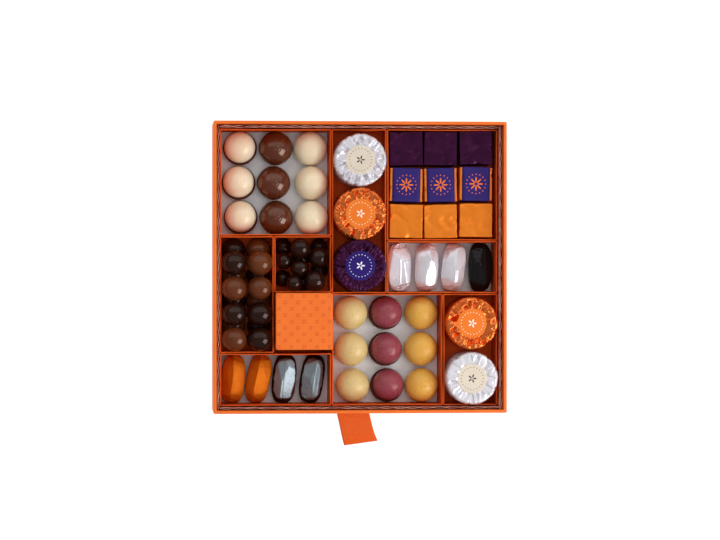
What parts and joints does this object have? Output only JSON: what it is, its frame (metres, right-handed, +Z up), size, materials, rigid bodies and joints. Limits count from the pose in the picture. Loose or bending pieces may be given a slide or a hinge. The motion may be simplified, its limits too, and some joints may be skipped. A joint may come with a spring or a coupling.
{
  "type": "chocolate box",
  "caption": "Square drawer-style chocolate box with a ribbon pull, quilted paper padding and lift-out card trays of pralines, wrapped discs, cubes, bonbons and dragees.",
  "frame": {"origin": "middle of the underside, where the box rests on a table", "axes": "+Z up, -Y to the front with the ribbon pull, +X to the right seen from the front"},
  "size_m": [0.2222, 0.2479, 0.041],
  "materials": {
    "grey_board": "uncoated board",
    "covering_paper": "fine embossed, satin",
    "lining_paper": "plain",
    "padding_paper": "quilted glassine, sheen",
    "ribbon_fabric": "woven satin",
    "tray_card": "smooth",
    "white_card": "smooth",
    "gift_card": "satin",
    "dark_chocolate": "satin chocolate",
    "white_chocolate": "glossy chocolate",
    "milk_chocolate": "glossy chocolate",
    "ivory_chocolate": "glossy chocolate",
    "pistachio_chocolate": "glossy chocolate",
    "ruby_chocolate": "glossy chocolate",
    "mango_chocolate": "glossy chocolate",
    "silver_foil": "chocolate in foil",
    "orange_foil": "chocolate in foil",
    "purple_foil": "chocolate in foil",
    "gold_foil": "chocolate in foil",
    "band_paper": "satin",
    "cream_label": "satin",
    "orange_label": "satin",
    "violet_label": "satin",
    "white_wrapper": "chocolate in foil",
    "black_wrapper": "chocolate in foil",
    "orange_wrapper": "chocolate in foil",
    "silver_wrapper": "chocolate in foil",
    "dark_dragee": "polished chocolate",
    "milk_dragee": "polished chocolate"
  },
  "bodies": {
    "drawer": {"drawer_board": "grey_board", "drawer_wrap": "covering_paper", "base_sheet": "covering_paper", "floor_lining": "lining_paper", "padding_left": "padding_paper", "padding_right": "padding_paper", "padding_front": "padding_paper", "padding_back": "padding_paper", "ribbon_tail": "ribbon_fabric"},
    "ribbon": {"ribbon_pull": "ribbon_fabric"},
    "shell_praline_tray": {"shell_praline_tray": "tray_card", "shell_praline_card": "white_card"},
    "disc_column_tray": {"disc_column_tray": "tray_card"},
    "cube_tray": {"cube_tray": "tray_card"},
    "right_bonbon_tray": {"right_bonbon_tray": "tray_card", "right_bonbon_card": "white_card"},
    "dragee_tray": {"dragee_tray": "tray_card"},
    "small_dragee_tray": {"small_dragee_tray": "tray_card"},
    "left_bonbon_tray": {"left_bonbon_tray": "tray_card", "left_bonbon_card": "white_card"},
    "fruit_praline_tray": {"fruit_praline_tray": "tray_card", "fruit_praline_card": "white_card"},
    "disc_pair_tray": {"disc_pair_tray": "tray_card"},
    "gift_box": {"gift_box_base": "gift_card"},
    "gift_lid": {"gift_box_lid": "gift_card"},
    "white_pralines": {"white_praline_bases": "dark_chocolate", "white_praline_domes": "white_chocolate"},
    "milk_pralines": {"milk_pralines": "milk_chocolate"},
    "ivory_pralines": {"ivory_pralines": "ivory_chocolate"},
    "silver_stack": {"silver_discs": "silver_foil", "silver_disc_labels": "cream_label"},
    "orange_stack": {"orange_discs": "orange_foil", "orange_disc_labels": "orange_label"},
    "purple_stack": {"purple_discs": "purple_foil", "purple_disc_labels": "violet_label"},
    "purple_cubes": {"purple_cubes": "purple_foil"},
    "banded_cubes": {"banded_cubes": "gold_foil", "cube_bands": "band_paper"},
    "gold_cubes": {"gold_cubes": "gold_foil"},
    "white_bonbons": {"white_bonbons": "white_wrapper"},
    "black_bonbon": {"black_bonbon": "black_wrapper"},
    "large_dragees": {"dark_dragees": "dark_dragee", "milk_dragees": "milk_dragee"},
    "small_dragees": {"small_dragees": "dark_dragee"},
    "orange_bonbons": {"orange_bonbons": "orange_wrapper"},
    "silver_bonbons": {"silver_bonbons": "silver_wrapper"},
    "pistachio_pralines": {"pistachio_pralines": "pistachio_chocolate"},
    "ruby_pralines": {"ruby_praline_bases": "dark_chocolate", "ruby_praline_domes": "ruby_chocolate"},
    "mango_pralines": {"mango_pralines": "mango_chocolate"},
    "peach_stack": {"peach_discs": "orange_foil", "peach_disc_labels": "orange_label"},
    "pearl_stack": {"pearl_discs": "silver_foil", "pearl_disc_labels": "cream_label"}
  },
  "joints": [
    {"name": "ribbon_swing", "type": "hinge", "parent": "drawer", "child": "ribbon", "pos_m": [-0.0036, -0.11088, 0.012], "axis": [-1, 0, 0], "range_deg": [0, 90]},
    {"name": "shell_praline_tray_lift", "type": "slide", "parent": "drawer", "child": "shell_praline_tray", "axis": [0, 0, 1], "range_m": [0, 0.045]},
    {"name": "disc_column_tray_lift", "type": "slide", "parent": "drawer", "child": "disc_column_tray", "axis": [0, 0, 1], "range_m": [0, 0.045]},
    {"name": "cube_tray_lift", "type": "slide", "parent": "drawer", "child": "cube_tray", "axis": [0, 0, 1], "range_m": [0, 0.045]},
    {"name": "right_bonbon_tray_lift", "type": "slide", "parent": "drawer", "child": "right_bonbon_tray", "axis": [0, 0, 1], "range_m": [0, 0.045]},
    {"name": "dragee_tray_lift", "type": "slide", "parent": "drawer", "child": "dragee_tray", "axis": [0, 0, 1], "range_m": [0, 0.045]},
    {"name": "small_dragee_tray_lift", "type": "slide", "parent": "drawer", "child": "small_dragee_tray", "axis": [0, 0, 1], "range_m": [0, 0.045]},
    {"name": "left_bonbon_tray_lift", "type": "slide", "parent": "drawer", "child": "left_bonbon_tray", "axis": [0, 0, 1], "range_m": [0, 0.045]},
    {"name": "fruit_praline_tray_lift", "type": "slide", "parent": "drawer", "child": "fruit_praline_tray", "axis": [0, 0, 1], "range_m": [0, 0.045]},
    {"name": "disc_pair_tray_lift", "type": "slide", "parent": "drawer", "child": "disc_pair_tray", "axis": [0, 0, 1], "range_m": [0, 0.045]},
    {"name": "gift_box_lift", "type": "slide", "parent": "drawer", "child": "gift_box", "axis": [0, 0, 1], "range_m": [0, 0.045]},
    {"name": "gift_lid_lift", "type": "slide", "parent": "gift_box", "child": "gift_lid", "axis": [0, 0, 1], "range_m": [0, 0.04]},
    {"name": "white_pralines_lift", "type": "slide", "parent": "shell_praline_tray", "child": "white_pralines", "axis": [0, 0, 1], "range_m": [0, 0.045]},
    {"name": "milk_pralines_lift", "type": "slide", "parent": "shell_praline_tray", "child": "milk_pralines", "axis": [0, 0, 1], "range_m": [0, 0.045]},
    {"name": "ivory_pralines_lift", "type": "slide", "parent": "shell_praline_tray", "child": "ivory_pralines", "axis": [0, 0, 1], "range_m": [0, 0.045]},
    {"name": "silver_stack_lift", "type": "slide", "parent": "disc_column_tray", "child": "silver_stack", "axis": [0, 0, 1], "range_m": [0, 0.045]},
    {"name": "orange_stack_lift", "type": "slide", "parent": "disc_column_tray", "child": "orange_stack", "axis": [0, 0, 1], "range_m": [0, 0.045]},
    {"name": "purple_stack_lift", "type": "slide", "parent": "disc_column_tray", "child": "purple_stack", "axis": [0, 0, 1], "range_m": [0, 0.045]},
    {"name": "purple_cubes_lift", "type": "slide", "parent": "cube_tray", "child": "purple_cubes", "axis": [0, 0, 1], "range_m": [0, 0.045]},
    {"name": "banded_cubes_lift", "type": "slide", "parent": "cube_tray", "child": "banded_cubes", "axis": [0, 0, 1], "range_m": [0, 0.045]},
    {"name": "gold_cubes_lift", "type": "slide", "parent": "cube_tray", "child": "gold_cubes", "axis": [0, 0, 1], "range_m": [0, 0.045]},
    {"name": "white_bonbons_lift", "type": "slide", "parent": "right_bonbon_tray", "child": "white_bonbons", "axis": [0, 0, 1], "range_m": [0, 0.045]},
    {"name": "black_bonbon_lift", "type": "slide", "parent": "right_bonbon_tray", "child": "black_bonbon", "axis": [0, 0, 1], "range_m": [0, 0.045]},
    {"name": "large_dragees_lift", "type": "slide", "parent": "dragee_tray", "child": "large_dragees", "axis": [0, 0, 1], "range_m": [0, 0.045]},
    {"name": "small_dragees_lift", "type": "slide", "parent": "small_dragee_tray", "child": "small_dragees", "axis": [0, 0, 1], "range_m": [0, 0.045]},
    {"name": "orange_bonbons_lift", "type": "slide", "parent": "left_bonbon_tray", "child": "orange_bonbons", "axis": [0, 0, 1], "range_m": [0, 0.045]},
    {"name": "silver_bonbons_lift", "type": "slide", "parent": "left_bonbon_tray", "child": "silver_bonbons", "axis": [0, 0, 1], "range_m": [0, 0.045]},
    {"name": "pistachio_pralines_lift", "type": "slide", "parent": "fruit_praline_tray", "child": "pistachio_pralines", "axis": [0, 0, 1], "range_m": [0, 0.045]},
    {"name": "ruby_pralines_lift", "type": "slide", "parent": "fruit_praline_tray", "child": "ruby_pralines", "axis": [0, 0, 1], "range_m": [0, 0.045]},
    {"name": "mango_pralines_lift", "type": "slide", "parent": "fruit_praline_tray", "child": "mango_pralines", "axis": [0, 0, 1], "range_m": [0, 0.045]},
    {"name": "peach_stack_lift", "type": "slide", "parent": "disc_pair_tray", "child": "peach_stack", "axis": [0, 0, 1], "range_m": [0, 0.045]},
    {"name": "pearl_stack_lift", "type": "slide", "parent": "disc_pair_tray", "child": "pearl_stack", "axis": [0, 0, 1], "range_m": [0, 0.045]}
  ]
}
